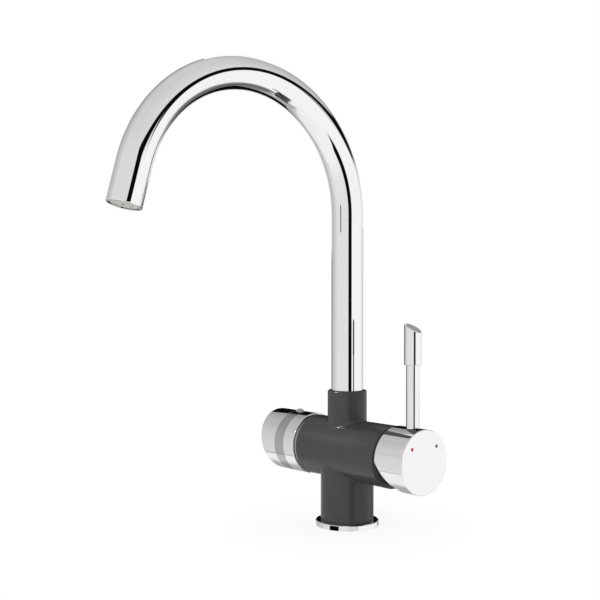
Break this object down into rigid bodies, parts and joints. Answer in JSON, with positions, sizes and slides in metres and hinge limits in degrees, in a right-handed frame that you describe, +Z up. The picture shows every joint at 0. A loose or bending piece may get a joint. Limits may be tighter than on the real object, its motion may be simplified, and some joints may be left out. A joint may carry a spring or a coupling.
{
  "type": "three-way drinking water filter tap",
  "caption": "Three-way kitchen tap with a chrome gooseneck spout, a grey cross body, a side mixer lever and a filter water knob.",
  "frame": {"origin": "centre of the stud hole on the underside of the foot, in the plane of the worktop", "axes": "+Z up along the column and the spout's swivel axis; -Y towards the user, where the spout points; +X towards the mixer lever"},
  "size_m": [0.1672, 0.2393, 0.3565],
  "materials": {
    "body_grey": "satin",
    "chrome": "polished",
    "satin_grey": "satin",
    "pale_grey": "gloss",
    "brass": "machined",
    "steel": "machined",
    "rubber": "matte",
    "ceramic": "polished",
    "resin": "moulded",
    "red": "gloss",
    "blue": "gloss"
  },
  "bodies": {
    "tap_body": {"body_casting": "body_grey", "base_ring": "chrome", "base_gasket": "rubber", "spout_thrust_washer": "resin", "spout_retaining_screw": "steel", "filter_tube_seal": "rubber", "cartridge_housing": "resin", "cartridge_base_plate": "resin", "cartridge_port_seals": "rubber", "mixer_fixed_disc": "ceramic", "cartridge_nut": "brass", "cartridge_bonnet": "body_grey", "filter_valve_body": "brass", "filter_flange_seal": "rubber", "filter_seat_seal": "rubber", "filter_fixed_disc": "ceramic"},
    "spout": {"spout_tube": "chrome", "spout_spigot": "brass", "spout_o_rings": "rubber", "filter_water_tube": "resin", "filter_nozzle": "resin", "aerator_housing": "chrome", "aerator_insert": "resin", "aerator_screen": "steel", "aerator_seal": "rubber"},
    "filter_handle": {"filter_knob_skirt": "chrome", "filter_knob_band": "satin_grey", "filter_knob_end_cap": "chrome", "filter_knob_pip": "pale_grey", "filter_spindle": "brass", "filter_turning_disc": "ceramic", "filter_spindle_o_rings": "rubber", "filter_spindle_clip": "steel", "filter_knob_screw": "steel"},
    "mixer_carrier": {"mixer_rotor": "resin", "mixer_pivot_pin": "steel"},
    "mixer_handle": {"mixer_stem": "brass", "mixer_cap": "chrome", "lever_rod": "chrome", "lever_grip": "chrome", "cap_screw": "steel", "hot_dot": "red", "cold_dot": "blue"},
    "mixer_disc_set": {"mixer_moving_disc": "ceramic", "mixer_disc_coupler": "resin"}
  },
  "joints": [
    {"name": "spout_swivel", "type": "hinge", "parent": "tap_body", "child": "spout", "pos_m": [0, 0, 0.097], "axis": [0, 0, 1], "continuous": true},
    {"name": "filter_turn", "type": "hinge", "parent": "tap_body", "child": "filter_handle", "pos_m": [-0.0375, 0, 0.06], "axis": [1, 0, 0], "range_deg": [0, 90]},
    {"name": "temperature_turn", "type": "hinge", "parent": "tap_body", "child": "mixer_carrier", "pos_m": [0.053, 0, 0.06], "axis": [1, 0, 0], "range_deg": [-45, 45]},
    {"name": "lever_tilt", "type": "hinge", "parent": "mixer_carrier", "child": "mixer_handle", "pos_m": [0.053, 0, 0.06], "axis": [0, 1, 0], "range_deg": [0, 25]},
    {"name": "disc_slide", "type": "slide", "parent": "mixer_carrier", "child": "mixer_disc_set", "axis": [0, 0, 1], "range_m": [0, 0.00508]}
  ],
  "couplings": [
    {"joint": "disc_slide", "follows": "lever_tilt", "m_per_rad": 0.01162}
  ]
}
